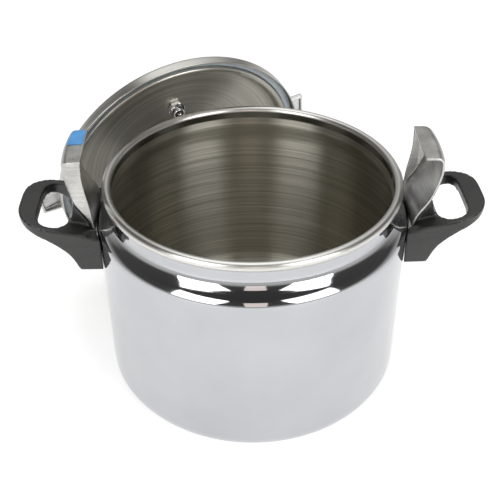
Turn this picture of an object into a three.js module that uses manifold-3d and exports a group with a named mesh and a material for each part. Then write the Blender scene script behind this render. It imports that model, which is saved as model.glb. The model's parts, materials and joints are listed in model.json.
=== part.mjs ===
// Clamp-bar pressure canner, ten litres: pot, two side handles, two fixed steel lugs, and the
// lid with its clamp bar, screw and valves standing behind the pot.
// Millimetres, +Z up, origin at the centre of the pot's base, handles along X.
import * as THREE from 'three'
import { mergeVertices } from 'three/addons/utils/BufferGeometryUtils.js'
import Module from 'manifold-3d'

const wasm = await Module()
wasm.setup()

// pot
const WALL_RADIUS = 136.5
const SHEET = 1.4
const BASE_THICKNESS = 4.5
const BASE_CORNER = 20
const SHOULDER_Z = 164
const NECK_RADIUS = 123.6
const RIM_Z = 198.2
const RIM_ROLL = 4
const RIM_CENTRE_RADIUS = 126

// handles
const HANDLE_HALF_WIDTH = 41
const FOOT_HALF_WIDTH = 32
const FOOT_BOTTOM = 128
const FOOT_TOP = 164
const RIVET_ANGLE = 10.5
const RIVET_Z = 147
const SCREW_Z = 148

// lugs
const LUG_SHEET = 2.2
const LUG_OPEN_SIDE = -30.5
const LUG_CHEEK_SIDE = 25.5

// lid, in its own frame: z = 0 at its open edge, z up through the dome
const LID_RADIUS = 131.5
const LID_SHEET = 1.2
const DOME_TOP = 24
const VENT_OFFSET = -68
const VENT_ALONG = 6.5
const SAFETY_OFFSET = 62
const BAR_REACH = 150
const BAR_HALF_WIDTH = 13
const BAR_SHEET = 2.5
const SCREW_RADIUS = 6

// the lid stands on the worktop behind the pot and leans on its rim
const LID_CENTRE = new THREE.Vector3(-65.4, 133.8, 128.4)
const LID_UNDERSIDE = new THREE.Vector3(0.4031, -0.883, -0.2407)
const BAR_HEADING = new THREE.Vector3(0.9, 0.39, 0.178)

// materials
function paint(color, roughness, metalness) {
  return new THREE.MeshStandardMaterial({ color, roughness, metalness })
}
const polished = () => paint(0xd5d6d8, 0.12, 1)
const brushed = () => paint(0xb4b2ac, 0.38, 1)
const phenolic = () => paint(0x1e1e1f, 0.42, 0)
const silicone = () => paint(0x8d999c, 0.6, 0)
const blueLabel = () => paint(0x2f86c4, 0.45, 0)

// shape helpers
function solid(geometry) {
  const bare = new THREE.BufferGeometry()
  const source = geometry.index ? geometry.toNonIndexed() : geometry
  bare.setAttribute('position', source.getAttribute('position').clone())
  const welded = mergeVertices(bare, 1e-4)
  const vertProperties = new Float32Array(welded.getAttribute('position').array)
  const triVerts = new Uint32Array(welded.index.array)
  return new wasm.Manifold(new wasm.Mesh({ numProp: 3, vertProperties, triVerts }))
}

function toGeometry(body) {
  const mesh = body.getMesh()
  const geometry = new THREE.BufferGeometry()
  geometry.setAttribute('position', new THREE.BufferAttribute(new Float32Array(mesh.vertProperties), 3))
  geometry.setIndex(new THREE.BufferAttribute(new Uint32Array(mesh.triVerts), 1))
  geometry.computeVertexNormals()
  return geometry
}

function node(name, body, material) {
  const mesh = new THREE.Mesh(toGeometry(body), material)
  mesh.name = name
  return mesh
}

function turned(profile, segments = 64) {
  const points = profile.map(([r, z]) => new THREE.Vector2(r, z))
  const geometry = new THREE.LatheGeometry(points, segments)
  geometry.rotateX(Math.PI / 2)
  return solid(geometry)
}

function ring(inner, outer, bottom, top, segments = 64) {
  const profile = [[inner, bottom], [outer, bottom], [outer, top], [inner, top], [inner, bottom]]
  return turned(profile, segments)
}

function rod(radius, bottom, top, segments = 24) {
  return turned([[0, bottom], [radius, bottom], [radius, top], [0, top]], segments)
}

function shapeOf(outline) {
  return new THREE.Shape(outline.map(([a, b]) => new THREE.Vector2(a, b)))
}

// outline in x and y, raised along z
function raised(outline, bottom, top) {
  const geometry = new THREE.ExtrudeGeometry(shapeOf(outline), { depth: top - bottom, bevelEnabled: false })
  geometry.translate(0, 0, bottom)
  return solid(geometry)
}

// outline in x and z, carried along y
function carried(outline, front, back) {
  const geometry = new THREE.ExtrudeGeometry(shapeOf(outline), { depth: back - front, bevelEnabled: false })
  geometry.rotateX(Math.PI / 2)
  geometry.translate(0, back, 0)
  return solid(geometry)
}

function box(x0, x1, y0, y1, z0, z1) {
  return raised([[x0, y0], [x1, y0], [x1, y1], [x0, y1]], z0, z1)
}

// rod along x, at height z and offset y
function crossRod(radius, x0, x1, y, z, segments = 20) {
  return rod(radius, x0, x1, segments).rotate([0, 90, 0]).translate([0, y, z])
}

function mirrored(outline) {
  const back = outline.slice().reverse().filter(([, y]) => y !== 0)
  return outline.concat(back.map(([x, y]) => [x, -y]))
}

function arc(cx, cz, radius, from, to, steps) {
  const points = []
  for (let i = 0; i <= steps; i++) {
    const a = THREE.MathUtils.degToRad(from + ((to - from) * i) / steps)
    points.push([cx + radius * Math.cos(a), cz + radius * Math.sin(a)])
  }
  return points
}

// a bent sheet: the outline of a line thickened to its left side
function bentSheet(line, thickness) {
  const offset = line.map((point, i) => {
    const before = line[Math.max(i - 1, 0)]
    const after = line[Math.min(i + 1, line.length - 1)]
    const dx = after[0] - before[0]
    const dz = after[1] - before[1]
    const length = Math.hypot(dx, dz)
    return [point[0] - (dz / length) * thickness, point[1] + (dx / length) * thickness]
  })
  return line.concat(offset.reverse())
}

// pot: one deep-drawn sheet with a rolled rim and a recessed neck
function potBody() {
  const outer = [
    [0, 0],
    ...arc(WALL_RADIUS - BASE_CORNER, BASE_CORNER, BASE_CORNER, -90, 0, 6),
    [WALL_RADIUS, 90],
    [WALL_RADIUS, SHOULDER_Z - 2],
    [WALL_RADIUS - 0.6, SHOULDER_Z + 2],
    [WALL_RADIUS - 2.6, SHOULDER_Z + 5.5],
    [WALL_RADIUS - 6.5, SHOULDER_Z + 9],
    [NECK_RADIUS + 2, SHOULDER_Z + 13.5],
    [NECK_RADIUS, SHOULDER_Z + 18],
    [NECK_RADIUS, RIM_Z - 5],
  ]
  const roll = arc(RIM_CENTRE_RADIUS, RIM_Z, RIM_ROLL, -90, 180, 9)
  const inner = [
    [NECK_RADIUS - SHEET, RIM_Z - 5],
    [NECK_RADIUS - SHEET, SHOULDER_Z + 18],
    [NECK_RADIUS + 2 - SHEET, SHOULDER_Z + 12.8],
    [WALL_RADIUS - 7.4, SHOULDER_Z + 7.7],
    [WALL_RADIUS - SHEET - 2.4, SHOULDER_Z + 4],
    [WALL_RADIUS - SHEET, SHOULDER_Z - 2],
    [WALL_RADIUS - SHEET, 90],
    ...arc(WALL_RADIUS - BASE_CORNER, BASE_CORNER + 1, BASE_CORNER - SHEET, 0, -78, 6),
    [WALL_RADIUS - BASE_CORNER - 4, BASE_THICKNESS],
    [0, BASE_THICKNESS],
  ]
  let pot = turned(outer.concat(roll, inner), 56)
  for (const side of [0, 180]) {
    for (const angle of [-RIVET_ANGLE, RIVET_ANGLE]) {
      const hole = crossRod(3.3, 120, 145, 0, RIVET_Z).rotate([0, 0, side + angle])
      pot = pot.subtract(hole)
    }
  }
  return pot
}

// handle: a phenolic block on the wall with a broad raised loop to lift by
function handle() {
  const side = [
    [128, 133], [150.3, 133.2], [152.3, 135.4], [154.8, 141.7], [158.4, 148.4], [162.3, 153.2],
    [168.2, 158.6], [175.8, 164.5], [186.3, 169], [194, 172.4], [199.6, 175.4], [203.2, 178.6],
    [203.2, 180.6], [200.6, 181.3], [185, 177.7], [165, 173.1], [147, 169], [139.8, 166], [128, 163],
  ]
  const plan = mirrored([
    [203.4, 0], [203, 10], [201, 20], [197, 28.4], [190.6, 35], [182, 39.4], [172, HANDLE_HALF_WIDTH],
    [120, HANDLE_HALF_WIDTH],
  ])
  const opening = mirrored([
    [186.6, 0], [186.2, 19], [184.2, 27], [180, 32.4], [173, 34.2], [167, 32.4],
    [162, 27], [159, 18], [158.4, 0],
  ])
  const rise = [
    [140.3, 160], [156, 160], [159.5, 172], [157.6, 174.2], [155.8, 178], [154.6, 183.5],
    [153.6, 186.6], [151.2, 187.4], [143.6, 173.8], [140.6, 167],
  ]
  let body = carried(side, -HANDLE_HALF_WIDTH - 1, HANDLE_HALF_WIDTH + 1)
  body = body.intersect(raised(plan, 100, 220))
  body = body.subtract(raised(opening, 100, 220))
  body = body.add(carried(rise, -26, 23))
  body = body.subtract(rod(WALL_RADIUS + 0.7, 90, 200, 144))
  const pocket = rod(WALL_RADIUS + 3.4, FOOT_BOTTOM - 20, FOOT_TOP + 0.4, 144)
  const pocketBox = box(100, 150, -FOOT_HALF_WIDTH - 0.4, FOOT_HALF_WIDTH + 0.4, 100, 170)
  body = body.subtract(pocket.intersect(pocketBox))
  const webLine = [
    [128, 100], [139.9, 100], [139.9, 160], [140.2, 167.8], [142.7, 174.6], [147.3, 182.2],
    [152.1, 191], [150, 230], [128, 230],
  ]
  body = body.subtract(carried(webLine, LUG_OPEN_SIDE - 0.4, LUG_CHEEK_SIDE + 0.4))
  for (const angle of [-RIVET_ANGLE, RIVET_ANGLE]) {
    body = body.subtract(crossRod(6.4, 130, 142.9, 0, RIVET_Z).rotate([0, 0, angle]))
  }
  body = body.subtract(crossRod(3, 130, 170, 0, SCREW_Z))
  body = body.subtract(crossRod(5.2, 149, 190, 0, SCREW_Z))
  return body
}

// lug: a pressed steel hook that stands up from the wall; the bar swings in from its open side
function lug() {
  const line = [
    [139.3, 130], [139.3, 160], [139.6, 168], [142.2, 175.5], [146.8, 183], [151.5, 191.5],
    [155, 202], [156.9, 209], [158.2, 219], [158.2, 225.5], [157.2, 228.4], [155.1, 230.6], [152, 231.6],
    [141.8, 232],
  ]
  let body = carried(bentSheet(line, LUG_SHEET), LUG_OPEN_SIDE, LUG_CHEEK_SIDE)
  const cheek = [
    [137.6, 158], [139.2, 158], [139.4, 168], [142, 175.5], [146.6, 183], [151.3, 191.5],
    [154.8, 202], [156.7, 209], [158, 219], [158, 225.4], [157, 228.2], [154.9, 230.4], [151.9, 231.4],
    [142.2, 231.6], [142.4, 212], [141, 200], [139.2, 188], [138.2, 176],
  ]
  body = body.add(carried(cheek, LUG_CHEEK_SIDE - LUG_SHEET, LUG_CHEEK_SIDE))
  const foot = ring(WALL_RADIUS + 0.7, WALL_RADIUS + 2.9, FOOT_BOTTOM, FOOT_TOP, 144)
  const footBox = box(110, 150, -FOOT_HALF_WIDTH, FOOT_HALF_WIDTH, FOOT_BOTTOM, FOOT_TOP)
  body = body.add(foot.intersect(footBox))
  body = body.subtract(rod(WALL_RADIUS + 0.7, 100, FOOT_TOP + 0.2, 144))
  const softCorner = [[150.5, 1], [160, 1], [160, -10.5], [159.5, -10.5], [158.2, -6], [155.5, -2], [151.5, 0.2]]
  body = body.subtract(raised(softCorner, 222, 240).translate([0, LUG_CHEEK_SIDE, 0]))
  for (const angle of [-RIVET_ANGLE, RIVET_ANGLE]) {
    body = body.subtract(crossRod(3.3, 120, 150, 0, RIVET_Z).rotate([0, 0, angle]))
    body = body.subtract(crossRod(6.4, 139.7, 150, 0, RIVET_Z).rotate([0, 0, angle]))
  }
  body = body.subtract(crossRod(2.8, 120, 150, 0, SCREW_Z))
  return body
}

function rivet(angle) {
  const inside = WALL_RADIUS - SHEET - 0.6
  const outside = WALL_RADIUS + 3.6
  const profile = [
    [0, inside - 2.6], [3.2, inside - 2.2], [5.2, inside - 1.1], [5.8, inside], [3, inside],
    [3, outside], [5.8, outside], [5.8, outside + 1.6], [4.6, outside + 2.3], [0, outside + 2.5],
  ]
  return turned(profile, 20).rotate([0, 90, 0]).translate([0, 0, RIVET_Z]).rotate([0, 0, angle])
}

function handleScrew() {
  const profile = [[0, 137.4], [2.3, 137.4], [2.3, 149.4], [4.6, 149.4], [4.6, 151.4], [3.6, 152.6], [0, 152.9]]
  let screw = turned(profile, 20).rotate([0, 90, 0]).translate([0, 0, SCREW_Z])
  screw = screw.subtract(box(151.6, 155, -5, 5, SCREW_Z - 0.6, SCREW_Z + 0.6))
  return screw
}

// label: a plain blue sticker on the flat lip of the left lug
function label() {
  const strip = [
    [143, 232.15], [152, 231.8], [154.4, 231.15], [154.7, 231.5], [152.2, 232.15], [143, 232.5],
  ]
  return carried(strip, LUG_OPEN_SIDE + 1.6, -4.4)
}

// lid, in its own frame
function domeHeight(r) {
  return DOME_TOP - 9 * Math.pow(r / 112, 2.4)
}

function domeLine(from, to, steps, drop) {
  const points = []
  for (let i = 0; i <= steps; i++) {
    const r = from + ((to - from) * i) / steps
    points.push([r, domeHeight(r) - drop])
  }
  return points
}

function lidShell() {
  const t = LID_SHEET
  const outer = [
    [LID_RADIUS, 0], [LID_RADIUS, 8.6], [130.4, 11.2], [127.6, 12.6], [124, 12.6], [121.9, 11.4],
    [121.1, 9], [120.8, 5.6], [119.9, 4.9], [118.6, 5.2], [117.2, 8.6], [115.2, 12.6],
    ...domeLine(112, 18, 9, 0),
    [0, DOME_TOP],
  ]
  const inner = [
    [0, DOME_TOP - t],
    ...domeLine(18, 111.2, 9, t),
    [114.2, 11.6], [116, 7.8], [117.6, 4.3], [119.4, 3.5], [121.4, 4.1],
    [122.1, 5.4], [122.3, 8.8], [122.9, 10.6], [124.3, 11.4], [127.4, 11.4], [129.4, 10.3],
    [LID_RADIUS - t, 8.2], [LID_RADIUS - t, 0], [LID_RADIUS, 0],
  ]
  let lid = turned(outer.concat(inner), 56)
  lid = lid.subtract(rod(5.1, 0, 40).translate([VENT_ALONG, VENT_OFFSET, 0]))
  lid = lid.subtract(rod(4.1, 0, 40).translate([0, SAFETY_OFFSET, 0]))
  return lid
}

function gasket() {
  const profile = [
    [122.8, 7.4], [126, 6.9], [129.6, 7.4], [129.7, 8.2], [129, 9.9], [127.2, 11], [124.5, 11],
    [123.3, 10.3], [122.8, 8.8], [122.8, 7.4],
  ]
  return turned(profile, 56)
}

// highest dome surface under a washer face of a given radius, at a given offset from the centre
function seatAbove(offset, radius) {
  return domeHeight(Math.abs(offset) - radius) + 0.3
}

function seatBelow(offset, radius) {
  return domeHeight(Math.abs(offset) + radius) - LID_SHEET - 0.4
}

function hexagon(acrossFlats, bottom, top) {
  return rod(acrossFlats / Math.sqrt(3), bottom, top, 6)
}

function ventPipe() {
  const top = seatAbove(VENT_OFFSET, 8.4)
  const profile = [
    [1.4, 8], [5.2, 8], [5.5, 8.4], [5.5, 11.4], [4.7, 12], [4.7, top], [8.4, top],
    [8.4, top + 3], [4, top + 3.6], [3.6, top + 15], [1.4, top + 16], [1.4, 8],
  ]
  return turned(profile, 24).translate([VENT_ALONG, VENT_OFFSET, 0])
}

function ventNut() {
  const top = seatBelow(VENT_OFFSET, 8.7)
  const nut = hexagon(15, top - 4.4, top).subtract(rod(5, 0, 40))
  return nut.translate([VENT_ALONG, VENT_OFFSET, 0])
}

function regulatorWeight() {
  const base = seatAbove(VENT_OFFSET, 8.4) + 5
  const profile = [
    [4.3, base], [9, base], [12.6, base + 2.6], [13, base + 6], [13, base + 17], [11.4, base + 20],
    [7.6, base + 21.4], [7.6, base + 24.4], [6.6, base + 26], [0, base + 26.4],
    [0, base + 14], [4.3, base + 11], [4.3, base],
  ]
  return turned(profile, 28).translate([VENT_ALONG, VENT_OFFSET, 0])
}

function safetyBody() {
  const top = seatAbove(SAFETY_OFFSET, 8)
  const profile = [
    [1.9, 13], [3.8, 13], [3.8, top], [8, top], [8, top + 2], [6.6, top + 2.6], [6.6, top + 9],
    [5.4, top + 10.4], [1.9, top + 10.4], [1.9, 13],
  ]
  return turned(profile, 24).translate([0, SAFETY_OFFSET, 0])
}

function safetyNut() {
  const top = seatBelow(SAFETY_OFFSET, 7.6)
  const nut = hexagon(13, top - 4, top).subtract(rod(4.1, 0, 40))
  return nut.translate([0, SAFETY_OFFSET, 0])
}

function safetyPin() {
  const top = seatAbove(SAFETY_OFFSET, 8) + 10.8
  const profile = [
    [0, 14.4], [1.5, 14.4], [1.5, top], [3, top], [3, top + 1.6], [2.2, top + 2.2], [0, top + 2.2],
  ]
  return turned(profile, 20).translate([0, SAFETY_OFFSET, 0])
}

function pressurePad() {
  const base = DOME_TOP + 0.3
  const profile = [
    [0, base], [16, base], [16, base + 1.4], [11.6, base + 2.4], [10.4, base + 5.4],
    [7, base + 5.4], [7, base + 2.6], [0, base + 2.6],
  ]
  return turned(profile, 28)
}

function pressureScrew() {
  const profile = [
    [0, 27.4], [4, 27.4], [SCREW_RADIUS, 29.4], [SCREW_RADIUS, 84], [5, 85], [0, 85],
  ]
  return turned(profile, 24)
}

function barNut() {
  const profile = [
    [SCREW_RADIUS + 0.35, 35], [10.6, 35], [10.6, 51.6], [14, 51.6], [14, 54.6], [12.6, 55.6],
    [SCREW_RADIUS + 0.35, 55.6], [SCREW_RADIUS + 0.35, 35],
  ]
  return turned(profile, 28)
}

// clamp bar: a pressed channel, open below, arched over the dome, with closed box ends
function crossbar() {
  const half = [[0, 51], [34, 50], [62, 46], [92, 38.6], [118, 31.4], [134, 29.4], [BAR_REACH, 28.8]]
  const under = [
    [BAR_REACH, 23.6], [136, 22.4], [122, 21.2], [110, 21.8], [88, 25.4], [58, 33], [32, 37], [0, 38],
  ]
  const right = half.concat(under)
  const left = under.slice(0, -1).reverse().concat(half.slice(1).reverse()).map(([x, z]) => [-x, z])
  let bar = carried(right.concat(left), -BAR_HALF_WIDTH, BAR_HALF_WIDTH)
  const inside = [
    [0, 51 - BAR_SHEET], [34, 50 - BAR_SHEET], [61.6, 46 - BAR_SHEET], [91.4, 38.6 - BAR_SHEET],
    [117.6, 31.4 - BAR_SHEET], [134, 29.4 - BAR_SHEET], [BAR_REACH - BAR_SHEET, 28.8 - BAR_SHEET],
    [BAR_REACH - BAR_SHEET, 10], [0, 10],
  ]
  const width = BAR_HALF_WIDTH - BAR_SHEET
  const hollow = carried(inside, -width, width)
  bar = bar.subtract(hollow).subtract(hollow.rotate([0, 0, 180]))
  bar = bar.subtract(rod(11, 20, 60, 28))
  return bar
}

function knob() {
  const profile = [
    [SCREW_RADIUS + 0.3, 62], [14, 62], [17, 64], [20, 70], [29, 74], [31, 78], [31, 88],
    [28, 92], [12.6, 92.6], [12.6, 90.6], [0, 90.6], [0, 85.6], [SCREW_RADIUS + 0.3, 85.6],
    [SCREW_RADIUS + 0.3, 62],
  ]
  let body = turned(profile, 36)
  for (let i = 0; i < 6; i++) {
    const scallop = rod(10, 60, 100, 16).translate([38, 0, 0]).rotate([0, 0, i * 60 + 30])
    body = body.subtract(scallop)
  }
  return body
}

function knobCap() {
  return turned([[0, 90.9], [12.2, 90.9], [12.2, 92.4], [9, 93.4], [0, 93.8]], 28)
}

// pot assembly
const group = new THREE.Group()
group.name = 'pressure_canner'
group.add(node('pot_body', potBody(), polished()))
const sides = [['right', 0], ['left', 180]]
for (const [side, angle] of sides) {
  group.add(node(`${side}_handle`, handle().rotate([0, 0, angle]), phenolic()))
  group.add(node(`${side}_lug`, lug().rotate([0, 0, angle]), brushed()))
  group.add(node(`${side}_rivet_1`, rivet(angle - RIVET_ANGLE), polished()))
  group.add(node(`${side}_rivet_2`, rivet(angle + RIVET_ANGLE), polished()))
  group.add(node(`${side}_handle_screw`, handleScrew().rotate([0, 0, angle]), brushed()))
}
group.add(node('capacity_label', label().rotate([0, 0, 180]), blueLabel()))

// lid assembly, standing behind the pot
const lidUp = LID_UNDERSIDE.clone().normalize().negate()
const lidSide = new THREE.Vector3().crossVectors(lidUp, BAR_HEADING).normalize()
const lidAlong = new THREE.Vector3().crossVectors(lidSide, lidUp)
const lidGroup = new THREE.Group()
lidGroup.name = 'lid'
lidGroup.quaternion.setFromRotationMatrix(new THREE.Matrix4().makeBasis(lidAlong, lidSide, lidUp))
lidGroup.position.copy(LID_CENTRE)
lidGroup.add(node('lid_shell', lidShell(), brushed()))
lidGroup.add(node('lid_gasket', gasket(), silicone()))
lidGroup.add(node('vent_pipe', ventPipe(), polished()))
lidGroup.add(node('vent_nut', ventNut(), polished()))
lidGroup.add(node('regulator_weight', regulatorWeight(), polished()))
lidGroup.add(node('safety_valve_body', safetyBody(), polished()))
lidGroup.add(node('safety_valve_nut', safetyNut(), polished()))
lidGroup.add(node('safety_pin', safetyPin(), polished()))
lidGroup.add(node('pressure_pad', pressurePad(), brushed()))
lidGroup.add(node('pressure_screw', pressureScrew(), brushed()))
lidGroup.add(node('bar_nut', barNut(), brushed()))
lidGroup.add(node('crossbar', crossbar(), brushed()))
lidGroup.add(node('screw_knob', knob(), phenolic()))
lidGroup.add(node('knob_cap', knobCap(), brushed()))
group.add(lidGroup)

export default group
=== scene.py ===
"""Pressure canner: fine meshes, materials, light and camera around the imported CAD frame.

Outlines are in millimetres and become metres when a mesh is made. Everything on the lid is made in the
lid's own frame: z = 0 at its open edge, z up through the dome, x along the clamp bar.
"""
import json
import math

import bmesh
import bpy
from mathutils import Euler, Matrix, Vector


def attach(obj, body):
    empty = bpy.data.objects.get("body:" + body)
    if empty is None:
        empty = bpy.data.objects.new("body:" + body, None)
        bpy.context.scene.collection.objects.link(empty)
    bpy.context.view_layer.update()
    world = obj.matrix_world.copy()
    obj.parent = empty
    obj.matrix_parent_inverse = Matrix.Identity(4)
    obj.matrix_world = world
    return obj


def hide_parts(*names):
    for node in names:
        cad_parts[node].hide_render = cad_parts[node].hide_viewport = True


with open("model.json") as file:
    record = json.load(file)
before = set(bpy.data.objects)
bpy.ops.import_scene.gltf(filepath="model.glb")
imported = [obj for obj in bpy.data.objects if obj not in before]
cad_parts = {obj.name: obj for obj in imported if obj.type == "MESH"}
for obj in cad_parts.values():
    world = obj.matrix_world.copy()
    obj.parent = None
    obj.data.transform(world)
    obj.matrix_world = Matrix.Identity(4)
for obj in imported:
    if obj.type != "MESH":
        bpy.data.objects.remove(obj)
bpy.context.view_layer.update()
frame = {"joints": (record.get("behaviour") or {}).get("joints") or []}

MM = 0.001

# pot
WALL = 136.5
SHEET = 1.4
BASE_CORNER = 20.0
BASE_THICKNESS = 4.5
SHOULDER = 164.0
NECK = 123.6
RIM_Z = 198.2
RIM_ROLL = 4.0
RIM_CENTRE = 126.0
RIM_INNER_EDGE = RIM_Z - 2.5
POT_SEGMENTS = 192

# handles and lugs
RIVET_ANGLE = 10.5
RIVET_Z = 147.0
SCREW_Z = 148.0
GRIP_HALF_WIDTH = 41.0
FOOT_HALF_WIDTH = 32.0
FOOT_BOTTOM = 128.0
FOOT_TOP = 164.0
LUG_SHEET = 2.2
LUG_OPEN_SIDE = -30.5
LUG_CHEEK_SIDE = 25.5
LUG_BOW = 2.2
LUG_CORNER = 9.2

# lid
LID_RADIUS = 131.5
LID_CHANNEL_RADIUS = 121.0
LID_SHEET = 1.2
DOME_TOP = 24.0
VENT_OFFSET = -68.0
VENT_ALONG = 6.5
SAFETY_OFFSET = 62.0
BAR_REACH = 150.0
BAR_HALF_WIDTH = 13.0
BAR_SHEET = 2.5
SCREW_RADIUS = 6.0
THREAD_PITCH = 3.0

# camera and light
CAMERA_PLACE = Vector((-0.02115, -0.62897, 0.58968))
CAMERA_TILT = math.radians(53.27)
CAMERA_HEADING = math.radians(-1.7)
CAMERA_ROLL = -0.0055
CAMERA_LENS = 61.32
CAMERA_SENSOR = 36.0


# ---------------------------------------------------------------- outlines

def smooth(points, steps=6):
    """A Catmull-Rom curve through the points, with that many steps between two of them."""
    result = []
    last = len(points) - 1
    for i in range(last):
        p0 = points[max(i - 1, 0)]
        p1 = points[i]
        p2 = points[i + 1]
        p3 = points[min(i + 2, last)]
        for k in range(steps):
            t = k / steps
            result.append(tuple(
                0.5 * (2 * b + (c - a) * t + (2 * a - 5 * b + 4 * c - d) * t * t
                       + (3 * b - a - 3 * c + d) * t ** 3)
                for a, b, c, d in zip(p0, p1, p2, p3)))
    result.append(tuple(points[last]))
    return result


def arc(cx, cy, radius, start, end, steps):
    """Points of an arc, angles in degrees."""
    angles = [math.radians(start + (end - start) * i / steps) for i in range(steps + 1)]
    return [(cx + radius * math.cos(a), cy + radius * math.sin(a)) for a in angles]


def mirrored(points):
    """The points, then the same ones back on the other side of the x axis."""
    return points + [(x, -y) for x, y in reversed(points) if abs(y) > 1e-6]


def thickened(line, thickness):
    """A closed outline: the line, and the line moved to its left by the sheet's thickness."""
    other = []
    for i, (x, z) in enumerate(line):
        ax, az = line[max(i - 1, 0)]
        bx, bz = line[min(i + 1, len(line) - 1)]
        length = math.hypot(bx - ax, bz - az)
        other.append((x - (bz - az) / length * thickness, z + (bx - ax) / length * thickness))
    return line + other[::-1]


# ---------------------------------------------------------------- meshes

def piece(name, bm, place=None):
    """Makes an object from a bmesh drawn in millimetres."""
    bmesh.ops.recalc_face_normals(bm, faces=bm.faces)
    mesh = bpy.data.meshes.new(name)
    bm.to_mesh(mesh)
    bm.free()
    mesh.transform(Matrix.Scale(MM, 4))
    mesh.shade_smooth()
    obj = bpy.data.objects.new(name, mesh)
    bpy.context.scene.collection.objects.link(obj)
    if place is not None:
        obj.matrix_world = place
    return obj


def lathe_mesh(profile, segments, radius_at=None):
    """A closed surface turned about z. radius_at(r, z, angle) may shape the turned radius."""
    bm = bmesh.new()
    rings = []
    for r, z in profile:
        if r < 1e-6:
            rings.append([bm.verts.new((0, 0, z))])
            continue
        ring = []
        for i in range(segments):
            angle = math.tau * i / segments
            radius = radius_at(r, z, angle) if radius_at else r
            ring.append(bm.verts.new((radius * math.cos(angle), radius * math.sin(angle), z)))
        rings.append(ring)
    pairs = list(zip(rings, rings[1:]))
    if profile[0][0] > 1e-6:
        pairs.append((rings[-1], rings[0]))
    for a, b in pairs:
        for i in range(segments):
            j = (i + 1) % segments
            if len(a) == 1 and len(b) > 1:
                bm.faces.new((a[0], b[i], b[j]))
            elif len(b) == 1 and len(a) > 1:
                bm.faces.new((a[i], a[j], b[0]))
            elif len(a) > 1:
                bm.faces.new((a[i], a[j], b[j], b[i]))
    return bm


def turned(name, profile, segments=128, place=None, radius_at=None):
    return piece(name, lathe_mesh(profile, segments, radius_at), place)


def prism(name, outline, low, high, along="y"):
    """An outline in x and z carried along y, or in x and y carried along z."""
    bm = bmesh.new()
    ends = []
    for level in (low, high):
        points = [(x, level, v) if along == "y" else (x, v, level) for x, v in outline]
        ends.append([bm.verts.new(p) for p in points])
    bm.faces.new(ends[0])
    bm.faces.new(ends[1])
    count = len(outline)
    for i in range(count):
        j = (i + 1) % count
        bm.faces.new((ends[0][i], ends[0][j], ends[1][j], ends[1][i]))
    obj = piece(name, bm)
    obj.data.shade_flat()
    return obj


def rod(name, radius, low, high, segments=96, place=None):
    return turned(name, [(0, low), (radius, low), (radius, high), (0, high)], segments, place)


def baked(obj):
    """Applies the object's modifiers to its mesh."""
    bpy.context.view_layer.update()
    graph = bpy.context.evaluated_depsgraph_get()
    mesh = bpy.data.meshes.new_from_object(obj.evaluated_get(graph))
    old = obj.data
    obj.modifiers.clear()
    obj.data = mesh
    bpy.data.meshes.remove(old)
    return obj


def carve(obj, tool, operation="DIFFERENCE"):
    modifier = obj.modifiers.new("carve", "BOOLEAN")
    modifier.operation = operation
    modifier.solver = "EXACT"
    modifier.object = tool
    baked(obj)
    bpy.data.objects.remove(tool)
    return obj


def rounded(obj, voxel, passes, factor=0.5):
    """One skin with softened edges: a voxel remesh, then smoothing."""
    remesh = obj.modifiers.new("remesh", "REMESH")
    remesh.mode = "VOXEL"
    remesh.voxel_size = voxel * MM
    relax = obj.modifiers.new("relax", "SMOOTH")
    relax.factor = factor
    relax.iterations = passes
    baked(obj)
    obj.data.shade_smooth()
    return obj


def paint(obj, *materials):
    obj.data.materials.clear()
    for material in materials:
        obj.data.materials.append(material)
    return obj


def placed(obj, body, nodes, slot, *materials):
    """Gives a piece its materials and its body, and hides the CAD nodes that it stands for; slot is not used.
    """
    obj.data.transform(obj.matrix_world)
    obj.matrix_world = Matrix.Identity(4)
    paint(obj, *materials)
    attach(obj, body)
    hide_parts(*nodes)
    return obj


# ---------------------------------------------------------------- the lid's frame

def lid_frame():
    """The lid's own frame, from the joint on its axis and the joint beside it."""
    joints = {j["name"]: j for j in frame["joints"]}
    centre = Vector(joints["knob_turn"]["pos_m"])
    up = Vector(joints["knob_turn"]["axis"]).normalized()
    toward_pin = Vector(joints["safety_pin_pop"]["pos_m"]) - centre
    across = (toward_pin - toward_pin.dot(up) * up).normalized()
    along = across.cross(up)
    matrix = Matrix((along, across, up)).transposed().to_4x4()
    matrix.translation = centre
    return matrix


LID = lid_frame()


def on_lid(x, y):
    return LID @ Matrix.Translation((x * MM, y * MM, 0))


VENT = on_lid(VENT_ALONG, VENT_OFFSET)
VALVE = on_lid(0, SAFETY_OFFSET)


# ---------------------------------------------------------------- materials

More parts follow.
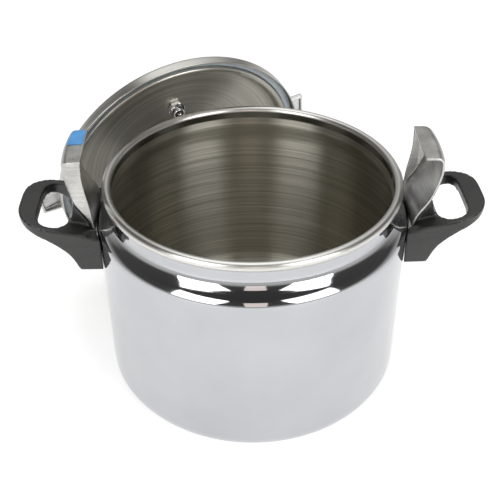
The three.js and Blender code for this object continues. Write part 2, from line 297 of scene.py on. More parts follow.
class Shade:
    """A small helper that adds and links shader nodes."""

    def __init__(self, name, frame_matrix=None):
        self.frame = frame_matrix
        self.material = bpy.data.materials.new(name)
        self.material.use_nodes = True
        self.tree = self.material.node_tree
        self.surface = self.tree.nodes["Principled BSDF"]

    def node(self, kind, inputs=(), **settings):
        made = self.tree.nodes.new(kind)
        for key, value in settings.items():
            setattr(made, key, value)
        for key, value in dict(inputs).items():
            self.join(value, made.inputs[key])
        return made

    def join(self, value, socket):
        if isinstance(value, bpy.types.NodeSocket):
            self.tree.links.new(value, socket)
        else:
            socket.default_value = value

    def set(self, **values):
        for key, value in values.items():
            self.join(value, self.surface.inputs[key.replace("_", " ")])

    def place(self):
        """The point in the part's own frame, in metres."""
        point = self.node("ShaderNodeTexCoord").outputs["Object"]
        if self.frame is None:
            return point
        back = self.frame.inverted()
        inputs = {"Vector": point, "Location": back.translation, "Rotation": back.to_euler()}
        return self.node("ShaderNodeMapping", inputs).outputs["Vector"]

    def around(self):
        """The direction of the rings about the frame's z axis, for the grain of brushed metal."""
        centre = self.frame.translation if self.frame else Vector()
        axis = self.frame.col[2].to_3d() if self.frame else Vector((0, 0, 1))
        point = self.node("ShaderNodeTexCoord").outputs["Object"]
        reach = self.node("ShaderNodeVectorMath", {0: point, 1: centre}, operation="SUBTRACT")
        turn = self.node("ShaderNodeVectorMath", {0: axis, 1: reach.outputs[0]}, operation="CROSS_PRODUCT")
        inputs = {"Vector": turn.outputs[0]}
        made = self.node("ShaderNodeVectorTransform", inputs, vector_type="VECTOR",
                         convert_from="OBJECT", convert_to="WORLD")
        return made.outputs[0]

    def scaled(self, vector, scale):
        mapping = self.node("ShaderNodeMapping", {"Vector": vector, "Scale": scale})
        return mapping.outputs["Vector"]

    def noise(self, vector, scale, detail=3.0, roughness=0.5):
        inputs = {"Vector": vector, "Scale": scale, "Detail": detail, "Roughness": roughness}
        return self.node("ShaderNodeTexNoise", inputs).outputs["Fac"]

    def remap(self, value, low, high, from_low=0.0, from_high=1.0):
        inputs = {"Value": value, "From Min": from_low, "From Max": from_high,
                  "To Min": low, "To Max": high}
        return self.node("ShaderNodeMapRange", inputs).outputs["Result"]

    def ramp(self, value, low, high, at=(0.0, 1.0)):
        made = self.node("ShaderNodeValToRGB", {"Fac": value})
        for element, position, color in zip(made.color_ramp.elements, at, (low, high)):
            element.position = position
            element.color = (*color, 1.0)
        return made.outputs["Color"]

    def math(self, operation, a, b):
        return self.node("ShaderNodeMath", {0: a, 1: b}, operation=operation).outputs[0]

    def bump(self, height, strength, distance, normal=None):
        inputs = {"Height": height, "Strength": strength, "Distance": distance}
        if normal is not None:
            inputs["Normal"] = normal
        return self.node("ShaderNodeBump", inputs).outputs["Normal"]

    def spun(self, fine, slow):
        """Noise in rings about the frame's z axis: fine across the rings, slow along them."""
        split = self.node("ShaderNodeSeparateXYZ", {"Vector": self.place()})
        x, y, z = split.outputs
        reach = self.math("SQRT", self.math("ADD", self.math("MULTIPLY", x, x),
                                            self.math("MULTIPLY", y, y)), 0.0)
        vector = self.node("ShaderNodeCombineXYZ", {
            "X": self.math("MULTIPLY", reach, fine),
            "Y": self.math("MULTIPLY", z, fine),
            "Z": self.math("MULTIPLY", x, slow)}).outputs[0]
        around = self.math("MULTIPLY", y, slow)
        inputs = {"Vector": vector, "W": around, "Scale": 1.0, "Detail": 2.0, "Roughness": 0.6}
        return self.node("ShaderNodeTexNoise", inputs, noise_dimensions="4D").outputs["Fac"]


def polished_steel():
    """Mirror polish with faint polishing rings, slow waviness in the pressed sheet and wiping haze."""
    s = Shade("polished_steel")
    haze = s.noise(s.place(), 14.0, 4.0, 0.6)
    rings = s.spun(1400.0, 6.0)
    s.set(Base_Color=s.ramp(haze, (0.44, 0.448, 0.468), (0.48, 0.485, 0.50), (0.3, 0.7)),
          Metallic=1.0, Roughness=s.remap(haze, 0.045, 0.10, 0.3, 0.7))
    waves = s.bump(s.noise(s.place(), 9.0, 1.0), 0.05, 0.004)
    s.set(Normal=s.bump(rings, 0.03, 0.0002, waves))
    return s.material


def ring_brushed(name, dark, light, roughness, grain, frame_matrix=None, bump=0.05):
    """Sheet brushed in rings: streaks along the rings, and highlights spread across them."""
    s = Shade(name, frame_matrix)
    coarse = s.spun(520.0, 5.0)
    fine = s.spun(2200.0, 10.0)
    streaks = s.math("ADD", s.math("MULTIPLY", coarse, 0.6), s.math("MULTIPLY", fine, 0.4))
    s.set(Base_Color=s.ramp(streaks, dark, light, (0.34, 0.66)), Metallic=1.0,
          Roughness=s.remap(streaks, roughness * 0.88, roughness * 1.12, 0.35, 0.65),
          Anisotropic=grain, Anisotropic_Rotation=0.25, Tangent=s.around())
    s.set(Normal=s.bump(streaks, bump, 0.0003))
    return s.material


def brushed_sheet(name, color, roughness, stretch, frame_matrix=None):
    """Straight-brushed sheet: long thin streaks along the direction with the small stretch."""
    s = Shade(name, frame_matrix)
    streaks = s.noise(s.scaled(s.place(), stretch), 1.0, 3.0, 0.65)
    cloud = s.noise(s.place(), 45.0, 4.0, 0.6)
    dark = tuple(c * 0.55 for c in color)
    mixed = s.math("ADD", s.math("MULTIPLY", streaks, 0.45), s.math("MULTIPLY", cloud, 0.55))
    s.set(Base_Color=s.ramp(mixed, dark, color, (0.32, 0.62)), Metallic=1.0,
          Roughness=s.remap(s.math("ADD", streaks, cloud), roughness * 0.8, roughness * 1.25, 0.7, 1.3))
    s.set(Normal=s.bump(streaks, 0.10, 0.0003))
    return s.material


def turned_steel(name, frame_matrix=None):
    """Lathe-turned small parts: bright rings and slightly dull facets."""
    s = Shade(name, frame_matrix)
    rings = s.spun(2600.0, 20.0)
    spots = s.noise(s.place(), 160.0, 3.0)
    s.set(Base_Color=s.ramp(rings, (0.60, 0.60, 0.60), (0.74, 0.74, 0.745), (0.3, 0.7)),
          Metallic=1.0, Roughness=s.remap(spots, 0.14, 0.26, 0.3, 0.7))
    s.set(Normal=s.bump(rings, 0.10, 0.0002))
    return s.material


def moulded_phenolic():
    """Satin black phenolic: fine orange peel, slow flow marks and a little dust in the gloss."""
    s = Shade("moulded_phenolic")
    peel = s.noise(s.place(), 900.0, 2.0)
    flow = s.noise(s.scaled(s.place(), (30.0, 60.0, 90.0)), 1.0, 4.0, 0.55)
    s.set(Base_Color=s.ramp(flow, (0.011, 0.011, 0.011), (0.021, 0.021, 0.020), (0.3, 0.7)),
          Roughness=s.remap(flow, 0.22, 0.36, 0.3, 0.7), Specular_IOR_Level=0.55)
    s.set(Normal=s.bump(peel, 0.10, 0.0003, s.bump(flow, 0.04, 0.001)))
    return s.material


def silicone():
    """Blue-grey translucent silicone with a dull, faintly mottled skin."""
    s = Shade("silicone")
    mottle = s.noise(s.place(), 120.0, 4.0)
    s.set(Base_Color=s.ramp(mottle, (0.38, 0.43, 0.46), (0.48, 0.53, 0.56), (0.3, 0.7)),
          Roughness=s.remap(mottle, 0.38, 0.55), Subsurface_Weight=0.15, Subsurface_Scale=0.003)
    s.set(Normal=s.bump(s.noise(s.place(), 700.0, 2.0), 0.08, 0.0003))
    return s.material


def sticker_blue():
    """Printed blue film under a clear gloss, with a faint print grain."""
    s = Shade("sticker_blue")
    grain = s.noise(s.place(), 1500.0, 2.0)
    drift = s.noise(s.place(), 60.0, 2.0)
    mixed = s.math("ADD", s.math("MULTIPLY", grain, 0.3), s.math("MULTIPLY", drift, 0.7))
    s.set(Base_Color=s.ramp(mixed, (0.05, 0.27, 0.64), (0.08, 0.36, 0.76), (0.35, 0.65)),
          Roughness=s.remap(grain, 0.30, 0.42), Coat_Weight=0.4, Coat_Roughness=0.12)
    return s.material


def studio_white():
    """The pale floor: a matt white sheet that glows a little, so that it stays even."""
    s = Shade("studio_white")
    tone = s.noise(s.place(), 3.0, 2.0)
    s.set(Base_Color=s.ramp(tone, (0.80, 0.80, 0.80), (0.82, 0.82, 0.82)), Roughness=0.9,
          Emission_Color=(1.0, 1.0, 1.0, 1.0), Emission_Strength=0.5)
    return s.material


POLISHED = polished_steel()
INSIDE = ring_brushed("brushed_inside", (0.35, 0.33, 0.275), (0.60, 0.575, 0.505), 0.35, 0.98)
SATIN_RIM = ring_brushed("satin_rim", (0.56, 0.55, 0.52), (0.68, 0.67, 0.645), 0.30, 0.5, None, 0.03)
# The lid's dome steel has a dark warm tone, darker than the edge steel below it: painted shade over its real
# ring grain.
LID_STEEL_PAINTED_SHADE = ring_brushed("spun_lid_steel_painted_shade", (0.27, 0.255, 0.215), (0.44, 0.42, 0.37), 0.32, 0.9, LID, 0.06)
LID_EDGE = ring_brushed("spun_lid_edge", (0.46, 0.45, 0.42), (0.62, 0.61, 0.58), 0.36, 0.7, LID, 0.04)
LUG_STEEL = brushed_sheet("brushed_lug_steel", (0.60, 0.595, 0.57), 0.31, (60.0, 60.0, 900.0))
BAR_STEEL = brushed_sheet("brushed_bar_steel", (0.68, 0.675, 0.665), 0.27, (30.0, 700.0, 700.0), LID)
TURNED = turned_steel("turned_steel")
CLAMP_STEEL = turned_steel("turned_clamp_steel", LID)
VENT_STEEL = turned_steel("turned_vent_steel", VENT)
VALVE_STEEL = turned_steel("turned_valve_steel", VALVE)
PHENOLIC = moulded_phenolic()
SILICONE = silicone()
STICKER = sticker_blue()


# ---------------------------------------------------------------- the pot

def pot():
    """One deep-drawn sheet: mirror outside, satin over the rolled rim, brushed inside."""
    base = arc(WALL - BASE_CORNER, BASE_CORNER, BASE_CORNER, -90, 0, 16)
    wall = [(WALL, 40), (WALL, 80), (WALL, 120), (WALL, SHOULDER - 4)]
    shoulder = smooth([
        (WALL, SHOULDER - 2.5), (WALL - 0.15, SHOULDER + 0.6), (WALL - 1.1, SHOULDER + 3.4),
        (WALL - 3.4, SHOULDER + 6.2), (WALL - 7, SHOULDER + 9.4), (NECK + 2.2, SHOULDER + 13.4),
        (NECK + 0.3, SHOULDER + 18), (NECK, SHOULDER + 22), (NECK, RIM_Z - 5.5),
        (NECK + 0.7, RIM_Z - 4.4),
    ], 5)
    roll = arc(RIM_CENTRE, RIM_Z, RIM_ROLL, -100, 180, 28)
    inner_neck = smooth([
        (NECK - SHEET, RIM_Z - 6), (NECK - SHEET, SHOULDER + 19), (NECK + 1, SHOULDER + 13),
        (WALL - 8.2, SHOULDER + 8), (WALL - SHEET - 2.2, SHOULDER + 4), (WALL - SHEET - 0.2, SHOULDER),
        (WALL - SHEET, SHOULDER - 5),
    ], 5)
    inner_wall = [(WALL - SHEET, 120), (WALL - SHEET, 80), (WALL - SHEET, 40)]
    inner_base = arc(WALL - BASE_CORNER, BASE_CORNER + 3.4, BASE_CORNER - SHEET - 0.2, 0, -88, 14)
    outside = [(0, 0), (40, 0), (80, 0)] + base + wall + shoulder + roll
    inside = inner_neck + inner_wall + inner_base + [(80, BASE_THICKNESS), (40, BASE_THICKNESS)]
    obj = turned("pot_shell", outside + inside + [(0, BASE_THICKNESS)], POT_SEGMENTS)
    placed(obj, "pot", ["pot_body"], "polished_steel", POLISHED, INSIDE, SATIN_RIM)
    last_outer_ring = len(outside) - 1
    for polygon in obj.data.polygons:
        within = max(polygon.vertices) // POT_SEGMENTS > last_outer_ring
        high = polygon.center.z / MM > RIM_INNER_EDGE
        if high:
            polygon.material_index = 2
        elif within:
            polygon.material_index = 1


# ---------------------------------------------------------------- handles

def grip_side():
    """The handle seen from the side, in x and z."""
    under = smooth([
        (150.3, 133.2), (152.3, 135.6), (154.8, 141.7), (158.4, 148.4), (162.3, 153.2), (168.2, 158.6),
        (175.8, 164.2), (186.3, 169), (194, 172.4), (199.6, 175.4), (202.8, 178.2), (203.2, 180),
        (201.2, 181.2),
    ], 4)
    top = smooth([(198, 180.7), (185, 177.7), (165, 173.1), (147, 169), (139.8, 166)], 3)
    return [(128, 133)] + under + top + [(128, 163)]


def grip(name, body_angle, node):
    """A phenolic block on the wall with a raised loop, notched for the lug and its foot."""
    plan = mirrored(smooth([
        (203.4, 0), (203, 10), (201, 20), (197, 28.4), (190.6, 35), (182, 39.4), (172, GRIP_HALF_WIDTH),
    ], 5) + [(120, GRIP_HALF_WIDTH)])
    opening = mirrored(smooth([
        (186.6, 0), (186.2, 19), (184.2, 27), (180, 32.4), (173, 34.2), (167, 32.4),
        (162, 27), (159, 18), (158.4, 0),
    ], 4)[:-1] + [(158.4, 1e-9)])
    rise = smooth([
        (156, 160), (159.5, 172), (157.6, 174.2), (155.8, 178), (154.6, 183.5), (153.6, 186.6),
        (151.2, 187.4), (143.6, 173.8), (140.6, 167), (140.3, 160),
    ], 3)
    web = [
        (128, 100), (139.9, 100), (139.9, 160), (140.2, 167.8), (142.7, 174.6), (147.3, 182.2),
        (152.1, 191), (150, 230), (128, 230),
    ]
    obj = prism(name, grip_side(), -GRIP_HALF_WIDTH - 1, GRIP_HALF_WIDTH + 1)
    carve(obj, prism("tool", plan, 100, 220, "z"), "INTERSECT")
    carve(obj, prism("tool", opening, 100, 220, "z"))
    carve(obj, prism("tool", rise, -26, 23), "UNION")
    carve(obj, rod("tool", WALL + 0.7, 90, 215, 288))
    pocket = rod("tool", WALL + 3.4, FOOT_BOTTOM - 20, FOOT_TOP + 0.4, 288)
    side = FOOT_HALF_WIDTH + 0.4
    carve(pocket, prism("tool", [(100, -side), (150, -side), (150, side), (100, side)], 100, 170, "z"),
          "INTERSECT")
    carve(obj, pocket)
    carve(obj, prism("tool", web, LUG_OPEN_SIDE - 0.4, LUG_CHEEK_SIDE + 0.4))
    across = Matrix.Rotation(math.radians(90), 4, "Y")
    for radius, low, high in ((3, 130, 170), (5.2, 149, 190)):
        place = Matrix.Translation((0, 0, SCREW_Z * MM)) @ across
        carve(obj, rod("tool", radius, low, high, 48, place))
    rounded(obj, 0.9, 9)
    obj.data.transform(Matrix.Rotation(body_angle, 4, "Z"))
    return placed(obj, "pot", [node], "phenolic", PHENOLIC)


# ---------------------------------------------------------------- lugs and fasteners

def lug_line():
    """The outer line of the web, from the foot up to the end of the lip."""
    web = smooth([
        (139.3, 130), (139.3, 160), (139.8, 168), (142.2, 175.5), (146.8, 183), (151.5, 191.5),
        (155, 202), (157.2, 211), (158.2, 218), (158.25, 223),
    ], 4)
    bend = arc(151.65, 225.1, 6.6, 0, 84, 10)
    lip = [(148, 231.9), (141.8, 232.1)]
    return web + bend + lip


def bow_lug(obj):
    """Bows the upper web and the lip's outer edge slightly outward between the two sides."""
    middle = (LUG_OPEN_SIDE + LUG_CHEEK_SIDE) / 2
    half = (LUG_CHEEK_SIDE - LUG_OPEN_SIDE) / 2
    start_z, rise = 190, 25
    lip_edge, lip_width = 142, 12
    for vertex in obj.data.vertices:
        x, y, z = vertex.co / MM
        across = max(0.0, 1 - ((y - middle) / half) ** 2)
        up = min(1.0, max(0.0, (z - start_z) / rise))
        outward = min(1.0, max(0.0, (x - lip_edge) / lip_width))
        vertex.co.x += LUG_BOW * across * up * up * (3 - 2 * up) * outward * MM


def lug(name, body_angle, node):
    """A pressed hook: leaning web, lip over the rim, one closed cheek, and the foot on the wall."""
    outer = lug_line()
    obj = prism(name, thickened(outer, LUG_SHEET), LUG_OPEN_SIDE, LUG_CHEEK_SIDE)
    inner_edge = smooth([
        (141.9, 231.9), (142.4, 222), (142.4, 212), (141, 200), (139.2, 188), (138.2, 176), (137.7, 166),
        (137.6, 158),
    ], 4)
    cheek = [(x, z) for x, z in outer if z > 158][:-1] + inner_edge
    panel = prism("tool", cheek, LUG_CHEEK_SIDE - LUG_SHEET, LUG_CHEEK_SIDE)
    foot = rod("tool_foot", WALL + 2.9, FOOT_BOTTOM, FOOT_TOP, 288)
    side = FOOT_HALF_WIDTH
    carve(foot, prism("tool", [(110, -side), (150, -side), (150, side), (110, side)],
                      FOOT_BOTTOM - 1, FOOT_TOP + 1, "z"), "INTERSECT")
    carve(obj, panel, "UNION")
    carve(obj, foot, "UNION")
    carve(obj, rod("tool", WALL + 0.7, 100, FOOT_TOP + 0.2, 288))
    back = LUG_CHEEK_SIDE
    corner_x, corner_y = 149.5, back - LUG_CORNER
    bend = arc(corner_x, corner_y, LUG_CORNER, 0, 90, 12)
    inner_bend = arc(corner_x, corner_y, LUG_CORNER - 2.8, 90, 0, 12)
    fillet = prism("tool_fillet", bend + inner_bend, 185, 230.6, "z")
    within = [(x, z) for x, z in outer if z > 158][:-1] + [(142, 231), (137.6, 158)]
    carve(fillet, prism("tool", within, 8, back), "INTERSECT")
    carve(obj, fillet, "UNION")
    soft_corner = [(corner_x, back + 1), (162, back + 1), (162, corner_y)] + bend
    carve(obj, prism("tool", soft_corner, 180, 240, "z"))
    for angle in (-RIVET_ANGLE, RIVET_ANGLE):
        place = (Matrix.Rotation(math.radians(angle), 4, "Z") @ Matrix.Translation((0, 0, RIVET_Z * MM))
                 @ Matrix.Rotation(math.radians(90), 4, "Y"))
        carve(obj, rod("tool", 3.3, 120, 150, 32, place))
    rounded(obj, 0.55, 3)
    bow_lug(obj)
    obj.data.transform(Matrix.Rotation(body_angle, 4, "Z"))
    return placed(obj, "pot", [node], "brushed_steel", LUG_STEEL)


def rivet(name, angle, node):
    """A domed rivet through wall and foot, with a low round head inside the pot."""
    inside = WALL - SHEET - 0.6
    outside = WALL + 3.6
    profile = smooth([(0, inside - 2.6), (2.4, inside - 2.4), (4.6, inside - 1.6), (5.8, inside)], 5)
    profile += [(3, inside), (3, outside)]
    profile += smooth([(5.8, outside), (5.8, outside + 1.5), (4.4, outside + 2.3), (0, outside + 2.5)], 5)
    place = (Matrix.Rotation(angle, 4, "Z") @ Matrix.Translation((0, 0, RIVET_Z * MM))
             @ Matrix.Rotation(math.radians(90), 4, "Y"))
    return placed(turned(name, profile, 48, place), "pot", [node], "polished_steel", TURNED)


def grip_screw(name, angle, node):
    """A slotted pan-head screw that holds the handle to the lug's foot."""
    profile = [(0, 137.4), (2.3, 137.4), (2.3, 149.4), (4.6, 149.4)]
    profile += smooth([(4.6, 151.2), (4.1, 152.2), (2.6, 152.8), (0, 152.9)], 5)
    obj = turned(name, profile, 48)
    obj.data.transform(Matrix.Rotation(math.radians(90), 4, "Y"))
    slot = [(151.6, -0.6), (155, -0.6), (155, 0.6), (151.6, 0.6)]
    carve(obj, prism("tool", slot, -6, 6))
    obj.data.transform(Matrix.Rotation(angle, 4, "Z") @ Matrix.Translation((0, 0, SCREW_Z * MM)))
    return placed(obj, "pot", [node], "brushed_steel", TURNED)


def sticker():
    """A thin blue film with round corners that follows the left lug's lip into its bend."""
    left, right, near, far = 143.0, 154.5, LUG_OPEN_SIDE + 1.6, -4.4
    radius = 1.6
    film = 0.25
    across, along = 12, 40
    columns = [left + (right - left) * i / along for i in range(along + 1)]

    def height(x):
        if x < 152.3:
            return 232.18 - 0.016 * (x - left)
        return 225.1 + math.sqrt(6.95 ** 2 - (x - 151.65) ** 2)

    bm = bmesh.new()
    rows = []
    for x in columns:
        inset = 0.0
        edge = min(x - left, right - x)
        if edge < radius:
            inset = radius - math.sqrt(radius ** 2 - (radius - edge) ** 2)
        low = near + inset
        high = far - inset
        z = height(x)
        levels = [low + (high - low) * i / across for i in range(across + 1)]
        loop = [(x, y, z) for y in levels] + [(x, y, z + film) for y in reversed(levels)]
        rows.append([bm.verts.new(p) for p in loop])
    count = len(rows[0])
    for a, b in zip(rows, rows[1:]):
        for i in range(count):
            j = (i + 1) % count
            bm.faces.new((a[i], a[j], b[j], b[i]))
    bm.faces.new(rows[0])
    bm.faces.new(rows[-1])
    obj = piece("lip_sticker", bm)
    obj.data.shade_flat()
    bow_lug(obj)
    obj.data.transform(Matrix.Rotation(math.pi, 4, "Z"))
    return placed(obj, "pot", ["capacity_label"], "blue_label", STICKER)


# ---------------------------------------------------------------- the lid

def dome_height(r):
    return DOME_TOP - 9 * (r / 112) ** 2.4


def dome_line(start, end, steps, drop):
    return [(r, dome_height(r) - drop)
            for r in (start + (end - start) * i / steps for i in range(steps + 1))]


def lid_shell():
    t = LID_SHEET
    edge = smooth([
        (LID_RADIUS, 0), (LID_RADIUS, 4), (LID_RADIUS, 8.2), (130.5, 10.9), (127.8, 12.5), (124, 12.6),
        (121.9, 11.4), (121.1, 9), (120.8, 6.2), (119.9, 5), (118.6, 5.2), (117.2, 8.4), (115.2, 12.4),
        (112, dome_height(112)),
    ], 4)
    outer = edge + dome_line(108, 6, 34, 0) + [(0, DOME_TOP)]
    under = [(0, DOME_TOP - t)] + dome_line(6, 107, 34, t) + smooth([
        (111.2, dome_height(111.2) - t), (114.2, 11.4), (116, 7.6), (117.6, 4.3), (119.4, 3.5),
        (121.4, 4.1), (122.1, 5.4), (122.3, 8.8), (122.9, 10.6), (124.3, 11.4), (127.4, 11.3),
        (129.4, 10.2), (LID_RADIUS - t, 8.2), (LID_RADIUS - t, 4), (LID_RADIUS - t, 0),
    ], 4)
    bm = lathe_mesh(outer + under[:-1] + [(LID_RADIUS - t, 0), (LID_RADIUS, 0)], 160)
    bmesh.ops.remove_doubles(bm, verts=bm.verts, dist=1e-4)
    obj = piece("spun_lid", bm)
    for x, y, radius in ((VENT_ALONG, VENT_OFFSET, 5.1), (0, SAFETY_OFFSET, 4.1)):
        carve(obj, rod("tool", radius, 0, 40, 40, Matrix.Translation((x * MM, y * MM, 0))))
    obj.data.shade_smooth()
    obj.matrix_world = LID
    placed(obj, "lid", ["lid_shell"], "lid_steel", LID_STEEL_PAINTED_SHADE, LID_EDGE)
    back = LID.inverted()
    # Inside the channel the dome takes the darker steel with painted shade; outside it the edge takes the
    # lighter steel.
    for polygon in obj.data.polygons:
        x, y, _ = (back @ polygon.center) / MM
        polygon.material_index = 1 if math.hypot(x, y) > LID_CHANNEL_RADIUS else 0


def gasket():
    lip = smooth([
        (122.8, 8.8), (122.8, 7.5), (124.2, 6.95), (126, 6.9), (128, 7.0), (129.5, 7.5), (129.7, 8.4),
        (129, 9.9), (127.2, 10.95), (125.8, 11), (124.5, 10.95), (123.3, 10.2), (122.8, 8.8),
    ], 4)[:-1]
    obj = turned("seal_ring", lip, 160, LID)
    return placed(obj, "lid", ["lid_gasket"], "silicone", SILICONE)


def seat_above(offset, radius):
    return dome_height(abs(offset) - radius) + 0.3


def seat_below(offset, radius):
    return dome_height(abs(offset) + radius) - LID_SHEET - 0.4


def hexagon(name, across_flats, hole, bottom, top, place):
    """A hexagon nut with turned chamfers at both ends."""
    corner = across_flats / math.sqrt(3)
    flats = [(corner * math.cos(math.radians(60 * i)), corner * math.sin(math.radians(60 * i)))
             for i in range(6)]
    obj = prism(name, flats, bottom, top, "z")
    cap = across_flats / 2 + 0.15
    rise = (corner - cap) * 0.6
    chamfer = [(0, bottom), (cap, bottom), (corner + 0.1, bottom + rise),
               (corner + 0.1, top - rise), (cap, top), (0, top)]
    carve(obj, turned("tool", chamfer, 72), "INTERSECT")
    carve(obj, rod("tool", hole, bottom - 5, top + 5, 48))
    obj.matrix_world = place
    return obj


def vent():
    top = seat_above(VENT_OFFSET, 8.4)
    profile = [(1.4, 8.2), (2, 8), (4.9, 8), (5.5, 8.5), (5.5, 11.2), (4.7, 12), (4.7, top), (8.2, top),
               (8.4, top + 0.3), (8.4, top + 2.7), (8.1, top + 3), (4, top + 3.6), (3.6, top + 15),
               (3.2, top + 15.8), (1.8, top + 16), (1.4, top + 15.6)]
    pipe = turned("vent_stem", profile, 64, VENT)
    placed(pipe, "lid", ["vent_pipe"], "polished_steel", VENT_STEEL)
    low = seat_below(VENT_OFFSET, 8.7)
    nut = hexagon("vent_hex", 15, 5, low - 4.4, low, VENT)
    placed(nut, "lid", ["vent_nut"], "polished_steel", VENT_STEEL)
    base = seat_above(VENT_OFFSET, 8.4) + 5
    cap = [(4.3, base), (8.4, base)] + smooth([
        (9, base), (11.4, base + 1.4), (12.7, base + 3.6), (13, base + 7), (13, base + 12), (13, base + 16.6),
        (12.4, base + 18.8), (10.8, base + 20.3), (8.2, base + 21.2), (7.6, base + 22), (7.6, base + 24),
        (6.9, base + 25.7), (4, base + 26.3), (0, base + 26.4)], 4)

    def groove(r, z, angle):
        return r - 0.35 if r > 12.9 and 8 < z - base < 15 and (z - base) % 2.4 < 1.2 else r

    weight = turned("regulator_cap", cap + [(0, base + 14), (4.3, base + 11)], 96,
                    VENT, groove)
    placed(weight, "weight", ["regulator_weight"], "polished_steel", VENT_STEEL)


def safety_valve():
    top = seat_above(SAFETY_OFFSET, 8)
    profile = [(1.9, 13), (3.8, 13), (3.8, top), (7.7, top), (8, top + 0.3), (8, top + 1.7), (7.7, top + 2),
               (6.6, top + 2.6), (6.6, top + 8.6), (6.2, top + 9.6), (5.4, top + 10.4), (2.2, top + 10.4),
               (1.9, top + 10.1)]
    placed(turned("relief_body", profile, 64, VALVE), "lid", ["safety_valve_body"], "polished_steel",
           VALVE_STEEL)
    low = seat_below(SAFETY_OFFSET, 7.6)
    nut = hexagon("relief_hex", 13, 4.1, low - 4, low, VALVE)
    placed(nut, "lid", ["safety_valve_nut"], "polished_steel", VALVE_STEEL)
    head = top + 10.8
    stem = [(0, 14.4), (1.5, 14.4), (1.5, head), (2.8, head), (3, head + 0.3), (3, head + 1.5),
            (2.3, head + 2.1), (0, head + 2.2)]
    placed(turned("relief_pin", stem, 40, VALVE), "pin", ["safety_pin"], "polished_steel", VALVE_STEEL)


def clamp_screw():
    """The screw with its real thread, the pad that it presses on and the bush in the bar."""
    base = DOME_TOP + 0.3
    pad = [(0, base), (15.6, base), (16, base + 0.3), (16, base + 1.2), (15.4, base + 1.6)]
    pad += smooth([(13, base + 2), (11.6, base + 2.6), (11, base + 4), (10.4, base + 5.2)], 4)
    pad += [(10, base + 5.4), (7.3, base + 5.4), (7, base + 5.1), (7, base + 2.6), (0, base + 2.6)]
    placed(turned("clamp_pad", pad, 96, LID), "lid", ["pressure_pad"], "brushed_steel", CLAMP_STEEL)
    steps = 230
    rod_line = [(0, 27.4), (3.6, 27.4), (4.6, 28.2)]
    rod_line += [(SCREW_RADIUS, 29.4 + (84 - 29.4) * i / steps) for i in range(steps + 1)]
    rod_line += [(5, 85), (0, 85)]

    def thread(r, z, angle):
        if r < SCREW_RADIUS - 0.1 or z < 30.5 or z > 61.5:
            return r
        turn = (z / THREAD_PITCH - angle / math.tau) % 1.0
        ridge = min(1.0, max(0.0, 2.2 * abs(turn - 0.5) * 2 - 0.6))
        return r - 0.9 * (1 - ridge)

    placed(turned("threaded_rod", rod_line, 72, LID, thread), "screw", ["pressure_screw"],
           "brushed_steel", CLAMP_STEEL)
    bush = [(SCREW_RADIUS + 0.35, 35.4), (SCREW_RADIUS + 0.8, 35), (10.2, 35), (10.6, 35.4), (10.6, 51.6),
            (13.6, 51.6), (14, 52), (14, 54.6), (13.6, 55.1), (12.6, 55.6), (SCREW_RADIUS + 0.8, 55.6),
            (SCREW_RADIUS + 0.35, 55.2)]
    placed(turned("threaded_bush", bush, 72, LID), "nut", ["bar_nut"], "brushed_steel", CLAMP_STEEL)


def clamp_bar():
    """A pressed channel, open below, arched over the dome, with closed ends that hook under the lugs."""
    crest = smooth([(0, 51), (18, 50.8), (34, 50), (62, 46), (92, 38.6), (118, 31.4), (134, 29.4)], 4)
    crest += [(BAR_REACH, 28.8)]
    belly = [(BAR_REACH, 23.6)] + smooth([
        (136, 22.4), (122, 21.2), (110, 21.8), (88, 25.4), (58, 33), (32, 37), (0, 38)], 4)
    right = crest + belly
    left = [(-x, z) for x, z in reversed(right) if x > 1e-6]
    obj = prism("clamp_bar", crest[1:] + belly + left + [(0, 51)], -BAR_HALF_WIDTH, BAR_HALF_WIDTH)
    hollow_line = [(x, z - BAR_SHEET) for x, z in crest[:-1]]
    hollow_line += [(BAR_REACH - BAR_SHEET, 28.8 - BAR_SHEET), (BAR_REACH - BAR_SHEET, 10)]
    hollow = hollow_line + [(-x, z) for x, z in reversed(hollow_line) if x > 1e-6]
    width = BAR_HALF_WIDTH - BAR_SHEET
    carve(obj, prism("tool", hollow, -width, width))
    carve(obj, rod("tool", 11, 20, 60, 64))
    rounded(obj, 0.6, 4)
    obj.matrix_world = LID
    return placed(obj, "bar", ["crossbar"], "brushed_steel", BAR_STEEL)


def knob():
    """A six-lobed phenolic knob moulded round the screw's end, with a steel disc in its top."""
    profile = [(SCREW_RADIUS + 0.3, 62), (13, 62)] + smooth([
        (14, 62.2), (16.6, 64), (18.6, 67), (21, 70.4), (25.5, 72.6), (29.2, 74.4), (30.7, 77), (31, 80),
        (31, 84), (30.6, 88), (29, 90.8), (26, 92.2), (22, 92.6)], 4)
    profile += [(16, 92.6), (12.9, 92.6), (12.6, 92.3), (12.6, 90.6), (0, 90.6), (0, 85.6),
                (SCREW_RADIUS + 0.3, 85.6)]

    def lobes(r, z, angle):
        depth = max(0.0, r - 17.0) / 14.0
        wave = 0.5 - 0.5 * math.cos(6 * angle)
        return r - 3.6 * depth * (1 - wave) ** 1.6

    grip_top = turned("fluted_knob", profile, 144, LID, lobes)
    placed(grip_top, "screw", ["screw_knob"], "phenolic", PHENOLIC)
    disc = [(0, 90.9), (11.9, 90.9), (12.2, 91.2), (12.2, 92.1), (11.8, 92.6)]
    disc += smooth([(10.6, 92.9), (9, 93.3), (5, 93.7), (0, 93.8)], 4)
    placed(turned("knob_disc", disc, 96, LID), "screw", ["knob_cap"], "brushed_steel", CLAMP_STEEL)


# ---------------------------------------------------------------- floor, light and camera

def stage():
    bm = bmesh.new()
    bmesh.ops.create_circle(bm, cap_ends=True, segments=96, radius=14000)
    floor = piece("floor", bm)
    floor.location.z = -0.0004
    paint(floor, studio_white())


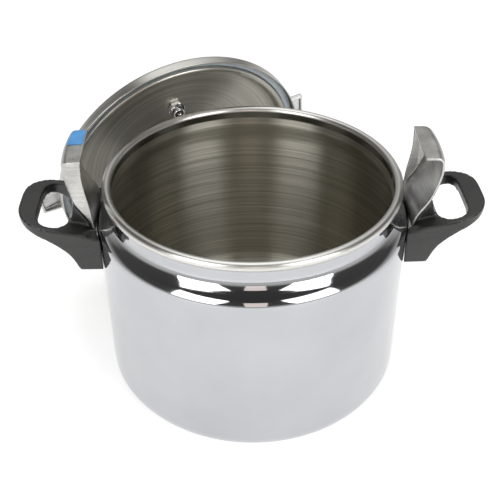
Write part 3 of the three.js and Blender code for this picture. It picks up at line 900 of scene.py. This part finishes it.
def sky():
    """Pale at the horizon, where a low view sees it, and dark overhead, as a studio is."""
    world = bpy.data.worlds.new("studio")
    bpy.context.scene.world = world
    world.use_nodes = True
    tree = world.node_tree
    ground = tree.nodes["Background"]
    direction = tree.nodes.new("ShaderNodeTexCoord")
    split = tree.nodes.new("ShaderNodeSeparateXYZ")
    tree.links.new(direction.outputs["Generated"], split.inputs[0])
    ramp = tree.nodes.new("ShaderNodeValToRGB")
    tree.links.new(split.outputs["Z"], ramp.inputs["Fac"])
    tones = ((0.0, 0.92), (0.16, 0.6), (0.34, 0.10), (1.0, 0.05))
    for _ in tones[2:]:
        ramp.color_ramp.elements.new(0.5)
    for element, (position, tone) in zip(ramp.color_ramp.elements, tones):
        element.position = position
        element.color = (tone, tone * 0.985, tone * 0.96, 1.0)
    tree.links.new(ramp.outputs["Color"], ground.inputs["Color"])


def softbox(name, azimuth, elevation, distance, width, height, power, color=(1.0, 1.0, 1.0)):
    """A rectangular light that faces the pot; azimuth 0 is in front, positive to the right."""
    light = bpy.data.lights.new(name, "AREA")
    light.shape = "RECTANGLE"
    light.size = width
    light.size_y = height
    light.energy = power
    light.color = color
    obj = bpy.data.objects.new(name, light)
    a = math.radians(azimuth)
    e = math.radians(elevation)
    aim = Vector((0, 0, 0.14))
    back = Vector((math.sin(a) * math.cos(e), -math.cos(a) * math.cos(e), math.sin(e)))
    obj.location = aim + back * distance
    obj.rotation_euler = back.to_track_quat("Z", "Y").to_euler()
    obj.visible_camera = False
    bpy.context.scene.collection.objects.link(obj)


def lights():
    softbox("right_front_box", 40, 29, 1.7, 0.9, 1.1, 14)
    softbox("left_front_box", -40, 29, 1.7, 0.9, 1.1, 14)
    softbox("overhead_box", 180, 78, 1.8, 1.5, 1.1, 7)
    softbox("back_fill", 180, 42, 1.8, 1.9, 0.9, 3)
    softbox("warm_front_card", 0, 27, 1.7, 0.4, 0.9, 1.5, (1.0, 0.88, 0.81))
    sun = bpy.data.lights.new("soft_sun", "SUN")
    sun.energy = 0.6
    sun.angle = math.radians(70)
    obj = bpy.data.objects.new("soft_sun", sun)
    obj.rotation_euler = (math.radians(-12), math.radians(8), 0)
    bpy.context.scene.collection.objects.link(obj)


def camera():
    lens = bpy.data.cameras.new("camera")
    lens.lens = CAMERA_LENS
    lens.sensor_width = CAMERA_SENSOR
    obj = bpy.data.objects.new("camera", lens)
    turn = Euler((CAMERA_TILT, 0, CAMERA_HEADING)).to_matrix() @ Matrix.Rotation(CAMERA_ROLL, 3, "Z")
    obj.matrix_world = Matrix.Translation(CAMERA_PLACE) @ turn.to_4x4()
    bpy.context.scene.collection.objects.link(obj)
    bpy.context.scene.camera = obj


# ---------------------------------------------------------------- everything

camera()
lights()
sky()
stage()
bpy.context.scene.view_settings.view_transform = "Standard"

pot()
for side, turn in (("right", 0.0), ("left", math.pi)):
    grip(f"{side}_grip", turn, f"{side}_handle")
    lug(f"{side}_hook", turn, f"{side}_lug")
    for number, offset in ((1, -RIVET_ANGLE), (2, RIVET_ANGLE)):
        rivet(f"{side}_rivet_head_{number}", turn + math.radians(offset), f"{side}_rivet_{number}")
    grip_screw(f"{side}_grip_screw", turn, f"{side}_handle_screw")
sticker()

lid_shell()
gasket()
vent()
safety_valve()
clamp_screw()
clamp_bar()
knob()
